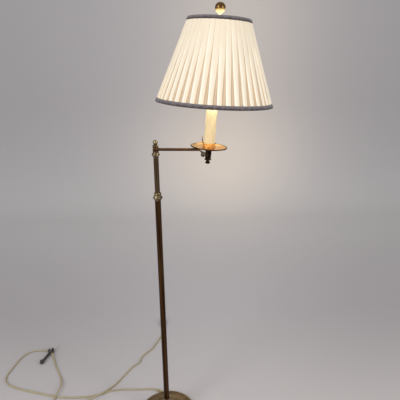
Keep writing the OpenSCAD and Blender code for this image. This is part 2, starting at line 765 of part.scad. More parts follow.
module lampholder_shell() {
    color("goldenrod") on_stem() difference() {
        translate([0, 0, holder_w]) cylinder(d = holder_d, h = holder_h);
        translate([0, 0, holder_w + 2]) cylinder(d = holder_d - 2 * holder_t, h = holder_h);
        translate([0, 0, holder_w - cut]) cylinder(d = nipple_d + 2 * snug, h = 4);
    }
}

module lampholder_liner() {
    d = holder_d - 2 * holder_t - 2 * snug;
    color("white") on_stem() difference() {
        translate([0, 0, holder_w + 8]) cylinder(d = d, h = holder_h - 8);
        translate([0, 0, holder_w + 12]) cylinder(d = d - 2 * liner_t, h = holder_h);
    }
}

module bulb_cap() {
    color("silver") on_stem() turned([[0, holder_w + 12], [4, holder_w + 12], [4.4, holder_w + 13.4],
        [bulb_cap_d / 2 - 2, holder_w + 16], [bulb_cap_d / 2, holder_w + 18], [bulb_cap_d / 2, bulb_w],
        [0, bulb_w]]);
}

module bulb_glass() {
    r = bulb_d / 2;
    centre = bulb_w + bulb_h - r;
    neck = bulb_cap_d / 2;
    wall = 1;
    outline = concat([[neck, bulb_w], [neck, bulb_w + 12], [neck + 1.6, bulb_w + 22]],
        arc(0, centre, r, -38, 84, 14));
    crown = bulb_w + bulb_h;
    inner = [for (p = outline) [p[0] - wall * (p[0] > 8 ? 1 : 0), min(p[1], crown - 2 * wall)]];
    color("lightyellow") on_stem() turned(concat(outline, [[0, crown], [0, crown - wall]],
        back([for (p = inner) if (p[1] < crown - 2 * wall) p])));
}

// Ring on the candle's top with the two ferrules that hold the harp
module harp_carrier() {
    bore = bulb_cap_d + 2 * loose;
    color("goldenrod") on_stem() difference() {
        union() {
            translate([0, 0, carrier_w]) cylinder(d = sleeve_d + 3, h = carrier_t);
            for (s = [-1, 1]) translate([s * harp_foot_r, 0, carrier_w]) cylinder(d = 7, h = 9);
        }
        translate([0, 0, carrier_w - cut]) cylinder(d = bore, h = 20);
        for (s = [-1, 1]) translate([s * harp_foot_r, 0, carrier_w + 2])
            cylinder(d = harp_wire + 2 * snug, h = 9);
    }
}

module harp() {
    color("goldenrod") {
        on_stem() {
            for (s = [-1, 1]) {
                foot = [s * harp_foot_r, 0, carrier_w + 2];
                bend = [s * harp_foot_r, 0, carrier_w + 16];
                knee = [s * harp_half, 0, harp_knee_w];
                rod(foot, bend, harp_wire);
                rod(bend, knee, harp_wire);
                rod(knee, [s * harp_half, 0, harp_bow_w], harp_wire);
                translate(bend) sphere(d = harp_wire);
                translate(knee) sphere(d = harp_wire);
            }
            translate([0, 0, harp_bow_w]) rotate([90, 0, 0]) rotate_extrude(angle = 180)
                translate([harp_half, 0]) circle(d = harp_wire);
            translate([0, 0, harp_bow_w + harp_half - 1])
                cylinder(d = 8, h = harp_seat_w - 2 - harp_bow_w - harp_half);
        }
        on_shade() {
            translate([0, 0, harp_seat_w - 3.4]) cylinder(d = 15, h = 3.4);
            translate([0, 0, harp_seat_w - 1]) cylinder(d = harp_stud_d, h = 16);
        }
    }
}

// ---- Shade ----

module shade_spider() {
    ring_w = shade_top_w - 5;
    r = inside_r(ring_w) - spider_wire / 2 - loose;
    color("silver") on_shade() difference() {
        union() {
            translate([0, 0, harp_seat_w]) cylinder(d = 18, h = hub_ring_t);
            translate([0, 0, ring_w]) rotate_extrude() translate([r, 0]) circle(d = spider_wire);
            for (i = [0:2]) rotate(i * 120 + 90)
                rod([7, 0, harp_seat_w + hub_ring_t / 2], [r, 0, ring_w], 2.4);
        }
        translate([0, 0, harp_seat_w - 5]) cylinder(d = harp_stud_d + 2 * snug, h = 20);
    }
}

module shade_ribs() {
    low_w = shade_low_w + 5;
    high_w = shade_top_w - 5 - spider_wire / 2 - rib_wire / 2;
    color("silver") on_shade() {
        translate([0, 0, low_w]) rotate_extrude()
            translate([inside_r(low_w) - spider_wire / 2 - loose, 0]) circle(d = spider_wire);
        for (i = [0:rib_count - 1]) rotate(i * 360 / rib_count)
            rod([inside_r(low_w) - spider_wire / 2 - loose, 0, low_w],
                [inside_r(high_w) - rib_wire / 2 - 2 * loose, 0, high_w], rib_wire);
    }
}

// Box-pleated cover: a folded wall between two cones, with its pleats closing towards the top
function pleat_angles() = [for (i = [0:pleats - 1])
    for (a = [0, 0.58, 0.64, 0.94]) (i + a) * 360 / pleats];
function pleat_drop(k, share) = (k % 4 < 2 ? 0 : 1) * pleat_depth * share;

module shade_cover() {
    a = pleat_angles();
    n = len(a);
    low = shade_low_w + edge_gap;
    high = shade_top_w - edge_gap;
    levels = [[low, 1], [low + (high - low) * 0.62, 0.62], [high, 0.3]];
    rows = len(levels);
    points = concat(
        [for (l = levels) for (k = [0:n - 1])
            let (r = cover_r(l[0]) - pleat_drop(k, l[1])) [r * cos(a[k]), r * sin(a[k]), l[0]]],
        [for (l = levels) for (k = [0:n - 1])
            let (r = cover_r(l[0]) - pleat_drop(k, l[1]) - cover_t)
                [r * cos(a[k]), r * sin(a[k]), l[0]]]);
    function at(side, row, k) = (side * rows + row) * n + k % n;
    faces = concat(
        [for (j = [0:rows - 2]) for (k = [0:n - 1]) each
            [[at(0, j, k), at(0, j + 1, k), at(0, j + 1, k + 1)],
             [at(0, j, k), at(0, j + 1, k + 1), at(0, j, k + 1)]]],
        [for (j = [0:rows - 2]) for (k = [0:n - 1]) each
            [[at(1, j, k), at(1, j + 1, k + 1), at(1, j + 1, k)],
             [at(1, j, k), at(1, j, k + 1), at(1, j + 1, k + 1)]]],
        [for (k = [0:n - 1]) each
            [[at(0, 0, k), at(0, 0, k + 1), at(1, 0, k + 1)],
             [at(0, 0, k), at(1, 0, k + 1), at(1, 0, k)]]],
        [for (k = [0:n - 1]) each
            [[at(0, rows - 1, k), at(1, rows - 1, k + 1), at(0, rows - 1, k + 1)],
             [at(0, rows - 1, k), at(1, rows - 1, k), at(1, rows - 1, k + 1)]]]);
    color("cornsilk") on_shade() polyhedron(points, faces, convexity = 6);
}

// A binding folded over an edge: w0 is the edge, w1 the far side of the outer leg
module trim(w0, w1) {
    s = w1 > w0 ? 1 : -1;
    lip = w0 + s * (edge_gap - trim_gap);
    leg = w0 + s * 3;
    color("thistle") on_shade() turned([[edge_r(w0), w0], [edge_r(w1), w1], [edge_r(w1) - trim_t, w1],
        [edge_r(lip) - trim_t, lip], [inside_r(lip) - trim_gap, lip], [inside_r(leg) - trim_gap, leg],
        [inside_r(leg) - trim_gap - 1, leg], [inside_r(w0) - trim_gap - 1, w0]]);
}

module top_trim() {
    trim(shade_top_w, shade_top_w - trim_high_h);
}

module bottom_trim() {
    trim(shade_low_w, shade_low_w + trim_low_h);
}

module shade_finial() {
    r = ball_d / 2;
    w = ball_base_w;
    color("gold") on_shade() difference() {
        turned(concat([[0, w], [6.4, w], [6.6, w + 1.2], [4.6, w + 3], [3.8, w + 5.5],
            [3.9, ball_w - r - 1.8], [5.4, ball_w - r - 0.6]], arc(0, ball_w, r, -66, 90, 16)));
        translate([0, 0, w - cut]) cylinder(d = harp_stud_d + 2 * snug, h = 14.6);
    }
}

// ---- Flex on the floor ----

// A smooth curve through the points of a route; t counts the points
function spline(p, t) = let (n = len(p) - 1, i = min(floor(t), n - 1), f = t - i,
    a = p[max(i - 1, 0)], b = p[i], c = p[i + 1], d = p[min(i + 2, n)])
    0.5 * (2 * b + (c - a) * f + (2 * a - 5 * b + 4 * c - d) * f * f
        + (3 * b - a - 3 * c + d) * f * f * f);

// A tube swept along a route that lies flat enough for upright rings
module swept(route, rings, d) {
    n = len(route) - 1;
    mid = [for (i = [0:rings - 1]) spline(route, n * i / (rings - 1))];
    points = [for (i = [0:rings - 1])
        let (v = mid[min(i + 1, rings - 1)] - mid[max(i - 1, 0)], t = v / norm(v),
            s = cross(t, [0, 0, 1]) / norm(cross(t, [0, 0, 1])), u = cross(s, t))
        for (k = [0:flex_sides - 1]) let (turn = k * 360 / flex_sides)
            mid[i] + d / 2 * (s * cos(turn) + u * sin(turn))];
    sides = [for (i = [0:rings - 2]) for (k = [0:flex_sides - 1])
        let (a = i * flex_sides + k, b = i * flex_sides + (k + 1) % flex_sides)
        each [[a, a + flex_sides, b + flex_sides], [a, b + flex_sides, b]]];
    first = [[for (k = [0:flex_sides - 1]) k]];
    last = [[for (k = [flex_sides - 1:-1:0]) (rings - 1) * flex_sides + k]];
    polyhedron(points, concat(sides, first, last), convexity = 10);
}

module flex_to_switch() {
    color("khaki") swept(route_to_switch, rings_to_switch, flex_d);
}

module flex_to_plug() {
    color("khaki") swept(route_to_plug, rings_to_plug, flex_d);
}

// Ball-shaped switch body with a slim tail that ends in a smaller knob
module inline_switch() {
    r = switch_d / 2;
    color("black") translate([switch_at[0], switch_at[1], 0]) difference() {
        union() {
            turned(concat([[0, 0.2], [r - 9, 0.2]], arc(r - 11, switch_h / 2 - 0.2, 11, -75, 62, 9),
                [[6.3, switch_h - 1.3], [5.6, switch_h - 1.4], [5.6, switch_h - 1.9],
                 [0, switch_h - 1.9]]));
            rotate(tail_turn) translate([0, 0, 8]) rotate([0, 90, 0]) union() {
                translate([0, 0, r - 3]) cylinder(d1 = 12, d2 = 10, h = 10);
                translate([0, 0, r + 6]) cylinder(d = 10, h = tail_reach - r - 12);
                translate([0, 0, tail_reach - 10]) cylinder(d1 = 10, d2 = 13, h = 4);
            }
            rotate(tail_turn) translate([tail_reach, 0, 9.6]) sphere(d = 19);
        }
        translate([0, 0, switch_h - 7]) cylinder(d = 10.4, h = 8);
    }
}

module switch_button() {
    color("dimgray") translate([switch_at[0], switch_at[1], 0])
        turned([[0, switch_h - 3.4], [5.1, switch_h - 3.4], [5.1, switch_h - 0.6], [4.2, switch_h + 0.4],
            [0, switch_h + 0.9]]);
}

module plug_body() {
    color("black") translate([-61, 520, plug_h / 2 + 0.1]) rotate([0, 0, plug_turn]) {
        translate([0, -4.5, -4.5]) cube([8, 9, 9]);
        translate([7.9, -plug_w / 2, -plug_h / 2]) cube([plug_l - 8, plug_w, plug_h]);
    }
}

module plug_blades() {
    color("silver") translate([-61, 520, plug_h / 2 + 0.1]) rotate([0, 0, plug_turn]) for (s = [-1, 1])
        translate([plug_l - 0.1, s * 6.35 - 0.75, -3.2]) cube([16, 1.5, 6.4]);
}

base_shell();
base_weight();
base_plate();
base_felt();
plate_screws();
foot_stem();
foot_washer();
foot_nut();
foot_ferrule();
lower_tube();
column_collar();
collar_ring();
grip_bush();
flex_bush();
base_flex();
upper_tube();
guide_bush();
top_collar();
hub_stem();
hub_washer();
hub_cap();
hub_finial();
mast_flex();
arm_hub();
arm_tube();
arm_elbow();
arm_flex();
head_barrel();
barrel_finial();
tilt_bolt();
tilt_washers();
thumb_knob();
head_stem();
drip_pan();
candle_cup();
stem_nut();
candle_sleeve();
key_bush();
switch_key();
head_flex();
lampholder_shell();
lampholder_liner();
bulb_cap();
bulb_glass();
harp_carrier();
harp();
shade_spider();
shade_ribs();
shade_cover();
top_trim();
bottom_trim();
shade_finial();
flex_to_switch();
inline_switch();
switch_button();
flex_to_plug();
plug_body();
plug_blades();
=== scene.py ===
# %% [markdown]
# # A bridge floor lamp, finished for its picture
#
# The lamp comes in as a packed frame: every tube, collar and nut is already a solid at its real
# size. This notebook only adds what a frame can't hold, which is the finish of each surface, the
# pleated cloth of the shade, its two bindings and the flex that lies on the floor. Everything is
# in metres, with the origin under the column and +X along the arm.

# %% Load the frame
import math
import random

import bmesh
import bpy
from mathutils import Matrix, Vector


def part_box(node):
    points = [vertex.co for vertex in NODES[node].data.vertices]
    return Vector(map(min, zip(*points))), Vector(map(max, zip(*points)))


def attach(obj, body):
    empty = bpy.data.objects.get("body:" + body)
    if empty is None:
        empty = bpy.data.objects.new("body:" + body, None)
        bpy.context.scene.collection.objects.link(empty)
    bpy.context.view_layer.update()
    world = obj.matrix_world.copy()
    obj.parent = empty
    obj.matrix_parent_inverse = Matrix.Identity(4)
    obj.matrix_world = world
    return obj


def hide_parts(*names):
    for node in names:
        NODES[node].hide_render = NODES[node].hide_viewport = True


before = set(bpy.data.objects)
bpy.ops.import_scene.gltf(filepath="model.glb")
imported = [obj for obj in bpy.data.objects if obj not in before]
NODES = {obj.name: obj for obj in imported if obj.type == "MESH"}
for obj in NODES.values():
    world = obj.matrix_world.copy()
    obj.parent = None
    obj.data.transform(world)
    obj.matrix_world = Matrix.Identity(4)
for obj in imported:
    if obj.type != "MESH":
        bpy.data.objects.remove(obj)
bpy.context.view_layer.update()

# %% [markdown]
# ## The camera
#
# A photographer stood about 1.2 m in front of the lamp and tipped the camera down a little, so
# the base is cut off by the bottom edge and uprights lean slightly apart. The focal length is
# given in pixels of the picture, which Blender wants as millimetres of a 36 mm sensor. The
# picture was trimmed unevenly at the top and bottom, and a small vertical shift copies that.

# %% Camera
PICTURE_SIDE = 400
FOCAL_PX = 391.4
SENSOR_MM = 36
CAMERA_AT = Vector((0.1343, -1.173, 1.212))
CAMERA_PITCH = math.radians(13.9)
CAMERA_ROLL = math.radians(-1.0)
AXIS_ABOVE_MIDDLE_PX = 30


def add_camera():
    """The photographer's camera, looking along +Y and down."""
    data = bpy.data.cameras.new("camera")
    data.sensor_width = SENSOR_MM
    data.lens = FOCAL_PX * SENSOR_MM / PICTURE_SIDE
    data.shift_y = -AXIS_ABOVE_MIDDLE_PX / PICTURE_SIDE
    camera = bpy.data.objects.new("camera", data)
    bpy.context.collection.objects.link(camera)
    ahead = Vector((0, math.cos(CAMERA_PITCH), -math.sin(CAMERA_PITCH)))
    right = Vector((1, 0, 0))
    up = right.cross(ahead)
    tilted_right = right * math.cos(CAMERA_ROLL) + up * math.sin(CAMERA_ROLL)
    tilted_up = up * math.cos(CAMERA_ROLL) - right * math.sin(CAMERA_ROLL)
    turn = Matrix((tilted_right, tilted_up, -ahead)).transposed()
    camera.matrix_world = Matrix.Translation(CAMERA_AT) @ turn.to_4x4()
    bpy.context.scene.camera = camera
    return camera


camera = add_camera()
print("lens", round(camera.data.lens, 2), "mm")

# %% [markdown]
# ## The flex
#
# Lamp flex is a round PVC cable of about 5.5 mm. A curve with a round bevel is the right tool: the
# curve's own line is the middle of the cable, so its length can be measured, and the tube follows
# by itself. The route is a short list of points, which a smooth spline joins, so the
# cable has no corners. Where it crosses itself it climbs over in a long, low hump.

# %% The route of the flex
FLEX_D = 0.0055
LIE = FLEX_D / 2 + 0.0001
ROUTE_TO_SWITCH = [
    (-0.046, 0.1124, 0.0065), (-0.062, 0.1198, 0.0046), (-0.092, 0.122, LIE), (-0.12, 0.1215, LIE),
    (-0.148, 0.122, LIE), (-0.193, 0.122, LIE), (-0.23, 0.116, LIE), (-0.256, 0.106, LIE),
    (-0.307, 0.091, LIE), (-0.359, 0.086, LIE), (-0.409, 0.088, LIE), (-0.438, 0.092, LIE),
    (-0.498, 0.107, LIE), (-0.559, 0.122, LIE), (-0.604, 0.135, LIE), (-0.645, 0.152, LIE),
    (-0.674, 0.176, LIE), (-0.684, 0.205, LIE), (-0.681, 0.237, LIE), (-0.677, 0.27, LIE),
    (-0.67, 0.306, LIE), (-0.656, 0.337, LIE), (-0.631, 0.353, LIE), (-0.603, 0.357, LIE),
    (-0.585, 0.355, 0.005), (-0.574, 0.353, 0.0066), (-0.5605, 0.35, 0.0074),
]
ROUTE_TO_PLUG = [
    (-0.5443, 0.335, 0.0074), (-0.536, 0.322, 0.0064), (-0.526, 0.306, 0.005), (-0.513, 0.285, LIE),
    (-0.501, 0.261, LIE), (-0.484, 0.236, LIE), (-0.468, 0.211, LIE), (-0.454, 0.19, LIE),
    (-0.445, 0.17, 0.0045), (-0.438, 0.15, 0.007), (-0.436, 0.13, 0.0104), (-0.438, 0.11, 0.0104),
    (-0.441, 0.09, 0.008), (-0.443, 0.072, 0.0045), (-0.443, 0.055, LIE), (-0.434, 0.032, LIE),
    (-0.41, 0.017, LIE), (-0.382, 0.02, LIE), (-0.354, 0.038, LIE), (-0.33, 0.056, 0.0045),
    (-0.306, 0.072, 0.0075), (-0.284, 0.084, 0.0106), (-0.262, 0.098, 0.0106), (-0.243, 0.117, 0.008),
    (-0.226, 0.14, 0.0045), (-0.207, 0.17, LIE), (-0.17, 0.238, LIE),
    (-0.152, 0.258, LIE), (-0.139, 0.273, LIE), (-0.138, 0.292, LIE), (-0.13, 0.313, LIE),
    (-0.112, 0.335, LIE), (-0.096, 0.358, LIE), (-0.084, 0.388, LIE), (-0.073, 0.416, LIE),
    (-0.062, 0.442, LIE), (-0.057, 0.466, LIE), (-0.057, 0.488, 0.0042), (-0.059, 0.505, 0.0065),
    (-0.061, 0.52, 0.007),
]
print("route of", len(ROUTE_TO_SWITCH), "and", len(ROUTE_TO_PLUG), "points")

# %% [markdown]
# A Catmull-Rom spline is the simplest curve that runs through every point it is given. It is
# worked out here, in eight steps from each point to the next, and not left to the curve object, so
# that the length can be added up. The bevel of the object is one metre, and the radius of each
# point scales it down to the cable's own.

# %% Lay the flex
STEPS_A_POINT = 8


def smooth_line(route):
    """Points along a Catmull-Rom spline through the route."""
    p = [Vector(q) for q in route]
    line = []
    for i in range(len(p) - 1):
        a, b, c, d = p[max(i - 1, 0)], p[i], p[i + 1], p[min(i + 2, len(p) - 1)]
        for k in range(STEPS_A_POINT):
            t = k / STEPS_A_POINT
            line.append(0.5 * (2 * b + (c - a) * t + (2 * a - 5 * b + 4 * c - d) * t * t
                               + (3 * b - a - 3 * c + d) * t ** 3))
    return line + [p[-1]]


def lay_flex(name, route, node):
    """A round cable along the route, in place of its CAD solid. Gives the piece and its length."""
    line = smooth_line(route)
    data = bpy.data.curves.new(name, "CURVE")
    data.dimensions = "3D"
    data.bevel_depth = 1.0
    data.bevel_resolution = 3
    data.use_fill_caps = True
    spline = data.splines.new("POLY")
    spline.points.add(len(line) - 1)
    for point, at in zip(spline.points, line):
        point.co, point.radius = (*at, 1), FLEX_D / 2
    flex = bpy.data.objects.new(name, data)
    bpy.context.collection.objects.link(flex)
    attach(flex, "base")
    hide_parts(node)
    return flex, sum((b - a).length for a, b in zip(line, line[1:]))


flex_to_switch, length_to_switch = lay_flex("flex_from_base", ROUTE_TO_SWITCH, "flex_to_switch")
flex_to_plug, length_to_plug = lay_flex("flex_to_wall", ROUTE_TO_PLUG, "flex_to_plug")
print("flex", round(length_to_switch, 3), "m and", round(length_to_plug, 3), "m")

# %% [markdown]
# ## Sums on sockets
#
# A shader is a sum over a surface, and sums read best as Python. Wire wraps one output socket and
# answers +, -, * and /, each of which adds one Math node.

# %% Wires
class Wire:
    """One output socket that takes part in sums."""

    def __init__(self, finish, socket):
        self.finish, self.socket = finish, socket

    def math(self, operation, first, second=0.0):
        return self.finish.node("ShaderNodeMath", {"operation": operation}, {0: first, 1: second})

    def __add__(self, other):
        return self.math("ADD", self, other)

    def __sub__(self, other):
        return self.math("SUBTRACT", self, other)

    def __rsub__(self, other):
        return self.math("SUBTRACT", other, self)

    def __mul__(self, other):
        return self.math("MULTIPLY", self, other)

    def __truediv__(self, other):
        return self.math("DIVIDE", self, other)

    __radd__, __rmul__ = __add__, __mul__

    def at_least(self, low):
        return self.math("MAXIMUM", self, low)

    def clamp(self):
        return self.math("MINIMUM", self.at_least(0.0), 1.0)

    def power(self, exponent):
        return self.math("POWER", self, exponent)

    def bell(self, width):
        """1 where the wire is 0, and falling away smoothly on both sides of it."""
        return self.math("EXPONENT", self * self * (-1 / width ** 2))


print("a wire knows", [name for name in vars(Wire) if not name.startswith("__")])

# %% [markdown]
# Finish is one material: its node() method adds any other node, its mix() blends two colours, and its
# shine() fills in the sockets of the Principled shader. Colours are written as they look on a
# screen, and rgb() turns them into the linear light that Blender adds up.

# %% Finishes
class Finish:
    """One material and its nodes."""

    def __init__(self, name):
        self.material = bpy.data.materials.new(name)
        self.material.use_nodes = True
        self.tree = self.material.node_tree
        self.shader = self.tree.nodes["Principled BSDF"]

    def node(self, kind, settings=None, inputs=None, out=0):
        """Any node: its settings come first, then the values or wires of its sockets."""
        made = self.tree.nodes.new(kind)
        for key, value in (settings or {}).items():
            if key == "ramp":
                for stop, (place, colour) in zip(self.stops(made, len(value)), value):
                    stop.position, stop.color = place, colour
            else:
                setattr(made, key, value)
        for key, value in (inputs or {}).items():
            self.feed(made.inputs[key], value)
        return Wire(self, made.outputs[out])

    @staticmethod
    def stops(made, count):
        stops = made.color_ramp.elements
        while len(stops) < count:
            stops.new(1)
        return stops

    def feed(self, socket, value):
        if isinstance(value, Wire):
            self.tree.links.new(value.socket, socket)
        else:
            socket.default_value = value

    def place(self):
        """Where a point is on the object, in metres."""
        return self.node("ShaderNodeTexCoord", out="Object")

    def stretched(self, scale):
        return self.node("ShaderNodeVectorMath", {"operation": "MULTIPLY"}, {0: self.place(), 1: scale})

    def parts(self, wire):
        """The three numbers of a place or a direction."""
        split = self.node("ShaderNodeSeparateXYZ", None, {"Vector": wire}).socket.node
        return [Wire(self, socket) for socket in split.outputs]

    def noise(self, scale, detail=3.0, rough=0.5, at=None):
        """Cloudy noise from 0 to 1."""
        inputs = {"Vector": at or self.place(), "Scale": scale, "Detail": detail, "Roughness": rough}
        return self.node("ShaderNodeTexNoise", None, inputs)

    def spread(self, wire, low, high):
        """A wire rescaled so that low becomes 0 and high becomes 1."""
        return ((wire - low) / (high - low)).clamp()

    def mix(self, share, first, second):
        """A colour between two colours."""
        made = self.tree.nodes.new("ShaderNodeMix")
        made.data_type = "RGBA"
        self.feed(made.inputs["Factor"], share)
        for key, value in (("A", first), ("B", second)):
            socket = [s for s in made.inputs if s.name == key and s.type == "RGBA"][0]
            self.feed(socket, value)
        return Wire(self, [s for s in made.outputs if s.type == "RGBA"][0])

    def bump(self, height, depth, distance):
        inputs = {"Height": height, "Strength": depth, "Distance": distance}
        self.feed(self.shader.inputs["Normal"], self.node("ShaderNodeBump", None, inputs))

    def shine(self, **sockets):
        """Sets sockets of the shader, named with underscores for spaces."""
        for key, value in sockets.items():
            self.feed(self.shader.inputs[key.replace("_", " ")], value)
        return self.material


def rgb(red, green, blue):
    """A colour as it looks on a screen, 0 to 255, turned into the linear light Blender adds up."""
    def linear(v):
        v /= 255
        return v / 12.92 if v <= 0.04045 else ((v + 0.055) / 1.055) ** 2.4
    return (linear(red), linear(green), linear(blue), 1)


def dress(material, *names):
    """The CAD nodes of these names take the material."""
    for name in names:
        for slot in NODES[name].material_slots:
            slot.link = "OBJECT"
            slot.material = material


print("a brown of 104, 74, 48 in linear light", [round(v, 3) for v in rgb(104, 74, 48)])

# %% [markdown]
# ## Old brass
#
# Brass that has hung about in a room for decades is never one colour: lacquer has gone brown in
# patches, hands have rubbed the ends bright and dust has dulled the rest. The patches are large
# soft noise, the dull specks are small noise, and both move the colour and the roughness
# together, because a dark patch of tarnish is also a matt one. A long tube has its patches drawn
# out along it, which the grain does by scaling one axis down.

# %% Brass
def brass(name, polished, tarnish, gloss, dull, patch=14.0, grain=(1, 1, 1), cover=0.5):
    """Metal between a polished and a tarnished colour. cover is the tarnished share."""
    f = Finish(name)
    clouds = f.noise(patch, 4.0, 0.6, f.stretched(grain))
    specks = f.noise(patch * 22, 2.0, 0.5, f.stretched(grain))
    worn = f.spread(clouds + specks * 0.22, cover - 0.02, cover + 0.34)
    f.bump(specks, 0.12, 0.0002)
    return f.shine(Base_Color=f.mix(worn, tarnish, polished), Metallic=1.0,
                   Roughness=dull - worn * (dull - gloss))


BRASS_BASE = brass("brass_base", rgb(176, 150, 108), rgb(112, 92, 62), 0.28, 0.46, 22.0)
BRASS_TUBE = brass("brass_lower_tube", rgb(98, 70, 44), rgb(44, 28, 15), 0.2, 0.36, 120.0, (1, 1, 0.03))
BRASS_MAST = brass("brass_upper_tube", rgb(138, 118, 88), rgb(48, 34, 24), 0.18, 0.34, 110.0,
                   (1, 1, 0.04))
BRASS_ARM = brass("brass_arm", rgb(134, 102, 72), rgb(56, 38, 25), 0.22, 0.36, 110.0, (0.06, 1, 1))
BRASS_CUP = brass("brass_cup", rgb(228, 198, 148), rgb(178, 140, 92), 0.22, 0.36, 60.0)
BRASS_TURNED = brass("brass_turned", rgb(168, 155, 124), rgb(76, 61, 44), 0.16, 0.3, 26.0)
BRASS_KNOB = brass("brass_knob", rgb(190, 176, 140), rgb(84, 72, 52), 0.16, 0.3, 120.0)
BRASS_INSIDE = brass("brass_inside", rgb(206, 176, 106), rgb(150, 118, 66), 0.2, 0.34, 60.0)
# brass painted darker as shade, for the barrel and its finial under the pan
BRASS_SHADED = brass("brass_shaded", rgb(96, 74, 50), rgb(26, 18, 12), 0.2, 0.36, 70.0, cover=0.56)
print("kinds of brass", len(bpy.data.materials))

# %% [markdown]
# Two pieces of brass have painted light on their own surface. The pan is painted bright on top,
# where the bulb shines on it, and painted dark brown as shade below and on its rolled rim, so its
# colour follows the way the surface faces. The ball over the shade is painted dark on top as a
# reflection of the dark room, and painted bright and glowing on its underside, by height, for the
# light that leaves the shade's top.

# %% Pan and ball
PAN_RIM = 0.0036


def spun_pan():
    """Painted bright where it faces up, and painted dark as shade below and on the rim."""
    low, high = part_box("drip_pan")
    f = Finish("brass_pan")
    facing = f.parts(f.node("ShaderNodeTexCoord", out="Normal"))[2]
    x, y, z = f.parts(f.place())
    aside, back = x - (low.x + high.x) / 2, y - (low.y + high.y) / 2
    outwards = (aside * aside + back * back).power(0.5)
    rim = f.spread(outwards, (high.y - low.y) / 2 - PAN_RIM, (high.y - low.y) / 2 - PAN_RIM * 0.6)
    # painted light on the faces the bulb shines on, painted shade on the rim and the underside
    painted_lit_top = f.spread(facing, 0.05, 0.5) * (1 - rim)
    clouds = f.spread(f.noise(34.0, 4.0, 0.6), 0.42, 0.66)
    lit_colour = f.mix(clouds, rgb(220, 182, 130), rgb(250, 222, 174))
    shaded_colour = f.mix(clouds, rgb(64, 42, 26), rgb(104, 74, 48))
    f.bump(f.noise(700.0), 0.1, 0.0002)
    return f.shine(Base_Color=f.mix(painted_lit_top, shaded_colour, lit_colour), Metallic=1.0, Roughness=0.42 - clouds * 0.12)


def polished_ball():
    """Painted dark on top as a reflection, and painted bright and glowing below for the shade's light.
    """
    low, high = (corner.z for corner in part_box("shade_finial"))
    f = Finish("brass_ball")
    height = f.spread(f.parts(f.place())[2], low, high)
    # painted light: the lower part is painted bright with emission, the upper part a painted dark
    # reflection
    lit = 1 - f.spread(height + f.noise(60.0) * 0.06, 0.52, 0.68)
    clouds = f.noise(90.0, 4.0, 0.6)
    shaded_colour = f.mix(clouds, rgb(70, 48, 24), rgb(140, 108, 66))
    warm = f.mix(f.spread(height, 0.4, 0.66), rgb(255, 250, 214), rgb(206, 172, 84))
    glow = f.mix(lit, rgb(0, 0, 0), warm)
    return f.shine(Base_Color=f.mix(lit, shaded_colour, rgb(200, 176, 112)), Metallic=1 - lit * 0.5,
                   Roughness=0.14 + clouds * 0.08, Emission_Color=glow, Emission_Strength=0.72)


dress(BRASS_BASE, "base_shell")
dress(BRASS_TUBE, "lower_tube", "foot_stem")
dress(BRASS_MAST, "upper_tube")
dress(BRASS_ARM, "arm_tube", "arm_hub", "arm_elbow")
dress(spun_pan(), "drip_pan")
dress(BRASS_CUP, "candle_cup", "key_bush")
dress(BRASS_TURNED, "foot_ferrule", "column_collar", "collar_ring", "top_collar", "hub_cap",
      "hub_finial")
dress(BRASS_INSIDE, "harp_carrier", "harp", "lampholder_shell", "plug_blades", "head_stem", "hub_stem")
dress(polished_ball(), "shade_finial")
dress(BRASS_KNOB, "thumb_knob", "switch_key")
# painted shade: the barrel sits under the pan
dress(BRASS_SHADED, "head_barrel", "barrel_finial")
print("brass is on", sum("brass" in slot.material.name for node in NODES.values()
                         for slot in node.material_slots if slot.material), "pieces")

# %% [markdown]
# ## The pieces that are not brass
#
# Inside and under the lamp are a rough iron casting, plain steel hardware and felt. They are hardly
# seen, but each has the grain of its making: sand, a brush, or pressed hairs.

# %% Iron, steel and felt
def casting():
    f = Finish("iron_casting")
    sand = f.noise(260.0, 5.0, 0.7)
    f.bump(sand, 0.6, 0.0008)
    iron = f.mix(sand, rgb(34, 33, 32), rgb(66, 62, 58))
    return f.shine(Base_Color=iron, Metallic=0.6, Roughness=0.7)


def steel(name, colour, rough):
    f = Finish(name)
    brushed = f.noise(90.0, 4.0, 0.6, f.stretched((1, 1, 8)))
    f.bump(brushed, 0.1, 0.0002)
    return f.shine(Base_Color=f.mix(brushed, colour, rgb(215, 214, 210)), Metallic=1.0,
                   Roughness=rough + brushed * 0.15)


def felt():
    f = Finish("green_felt")
    hairs = f.noise(1400.0, 4.0, 0.8)
    f.bump(hairs, 0.8, 0.0006)
    return f.shine(Base_Color=f.mix(hairs, rgb(24, 46, 32), rgb(52, 84, 60)), Roughness=0.95,
                   Sheen_Weight=0.3)


dress(casting(), "base_weight")
dress(steel("plain_steel", rgb(150, 150, 150), 0.3), "base_plate", "plate_screws", "foot_washer",
      "foot_nut", "stem_nut", "tilt_bolt", "bulb_cap")
dress(felt(), "base_felt")
print("finishes", len(bpy.data.materials))

# %% [markdown]
# Bushes, washers, the switch and the plug are moulded, with a fine skin. The flex has a
# gold-coloured jacket with a faint twist. One finish dresses the flex on the floor and the
# stretches of it inside the lamp, because they are one cable.

# %% Moulded pieces and flex
def moulded(name, colour, second, rough):
    """Plastic or rubber with a fine moulded skin."""
    f = Finish(name)
    skin = f.noise(500.0, 3.0, 0.6)
    marks = f.noise(35.0, 3.0, 0.6)
    f.bump(skin, 0.15, 0.0002)
    return f.shine(Base_Color=f.mix(marks, colour, second), Roughness=rough + marks * 0.15)


def jacket():
    f = Finish("flex_jacket")
    soil_and_shade = f.noise(28.0, 4.0, 0.6)
    twist = f.noise(420.0, 2.0, 0.5)
    f.bump(twist, 0.3, 0.0003)
    return f.shine(Base_Color=f.mix(soil_and_shade, rgb(146, 134, 102), rgb(188, 176, 138)), Metallic=0.1,
                   Roughness=0.4 + twist * 0.2)


